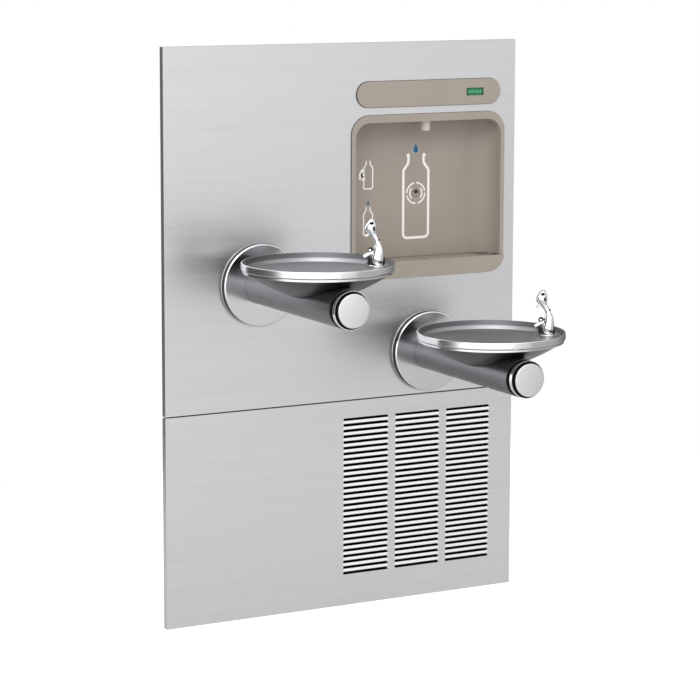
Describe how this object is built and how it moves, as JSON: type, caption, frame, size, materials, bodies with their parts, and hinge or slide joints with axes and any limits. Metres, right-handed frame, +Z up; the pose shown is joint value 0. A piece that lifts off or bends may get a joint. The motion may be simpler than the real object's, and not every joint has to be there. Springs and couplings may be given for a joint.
{
  "type": "bottle filling station",
  "caption": "Wall-hung steel panel with a sensor-operated bottle filling alcove, a louvred access door and drinking fountains on round arms at different heights.",
  "frame": {"origin": "middle of the frame's four wall bolts, on the frame's back face", "axes": "+X right along the panel, +Y into the wall, +Z up"},
  "size_m": [0.949, 0.658, 1.374],
  "materials": {
    "panel_steel": "fine horizontal brush, satin",
    "taupe": "fine texture",
    "display": "tinted window",
    "circuit": "solder mask",
    "nozzle_grey": "satin",
    "black_gloss": "gloss",
    "dark_plastic": "moulded",
    "white_plastic": "moulded",
    "copper_pipe": "drawn tube",
    "frame_steel": "powder coat",
    "fasteners": "zinc plated",
    "galvanised": "galvanised sheet",
    "compressor_black": "baked enamel",
    "fins": "bare fins",
    "fan_plastic": "moulded",
    "filter_blue": "moulded",
    "bright_steel": "polished",
    "arm_steel": "satin turned",
    "bowl_steel": "satin spun",
    "chrome": "polished",
    "rubber": "moulded",
    "button_steel": "fine satin",
    "valve_brass": "machined"
  },
  "bodies": {
    "station": {"upper_panel": "panel_steel", "lower_panel": "panel_steel", "display_bar": "taupe", "display_window": "display", "display_board": "circuit", "alcove_housing": "taupe", "drip_tray": "taupe", "fill_nozzle": "nozzle_grey", "sensor_window": "black_gloss", "sensor_module": "dark_plastic", "fill_valve": "white_plastic", "fill_tube": "copper_pipe", "alcove_drain": "dark_plastic", "frame_left": "frame_steel", "frame_right": "frame_steel", "frame_post": "frame_steel", "frame_top": "frame_steel", "frame_bottom": "frame_steel", "frame_seam_rail": "frame_steel", "panel_screws": "fasteners", "arm_bolts": "fasteners", "chiller_shelf": "galvanised", "compressor": "compressor_black", "condenser": "fins", "fan_shroud": "dark_plastic", "fan_motor": "compressor_black", "cooling_tank": "white_plastic", "filter_head": "white_plastic", "left_cover_plate": "bright_steel", "left_arm": "arm_steel", "left_arm_plate": "frame_steel", "left_basin": "bowl_steel", "left_skirt": "arm_steel", "left_strainer": "bright_steel", "left_waste": "dark_plastic", "left_bubbler": "chrome", "left_boot": "rubber", "left_ring": "bright_steel", "left_spring": "fasteners", "left_push_valve": "valve_brass", "left_bubbler_tube": "white_plastic", "right_cover_plate": "bright_steel", "right_arm": "arm_steel", "right_arm_plate": "frame_steel", "right_basin": "bowl_steel", "right_skirt": "arm_steel", "right_strainer": "bright_steel", "right_waste": "dark_plastic", "right_bubbler": "chrome", "right_boot": "rubber", "right_ring": "bright_steel", "right_spring": "fasteners", "right_push_valve": "valve_brass", "right_bubbler_tube": "white_plastic"},
    "left_button": {"left_button": "black_gloss", "left_button_cap": "button_steel"},
    "right_button": {"right_button": "black_gloss", "right_button_cap": "button_steel"},
    "fan": {"fan": "fan_plastic"},
    "filter": {"filter_cartridge": "filter_blue"}
  },
  "joints": [
    {"name": "left_button_push", "type": "slide", "parent": "station", "child": "left_button", "axis": [0, 1, 0], "range_m": [0, 0.005], "stiffness_N_per_m": 1500, "springref_m": -0.004, "deforming": ["left_spring"]},
    {"name": "right_button_push", "type": "slide", "parent": "station", "child": "right_button", "axis": [0, 1, 0], "range_m": [0, 0.005], "stiffness_N_per_m": 1500, "springref_m": -0.004, "deforming": ["right_spring"]},
    {"name": "fan_spin", "type": "hinge", "parent": "station", "child": "fan", "pos_m": [0.3, 0.03, -0.5475], "axis": [0, 1, 0], "continuous": true},
    {"name": "filter_turn", "type": "hinge", "parent": "station", "child": "filter", "pos_m": [-0.31, 0.058, -0.293], "axis": [0, 0, 1], "range_deg": [0, 90]}
  ]
}
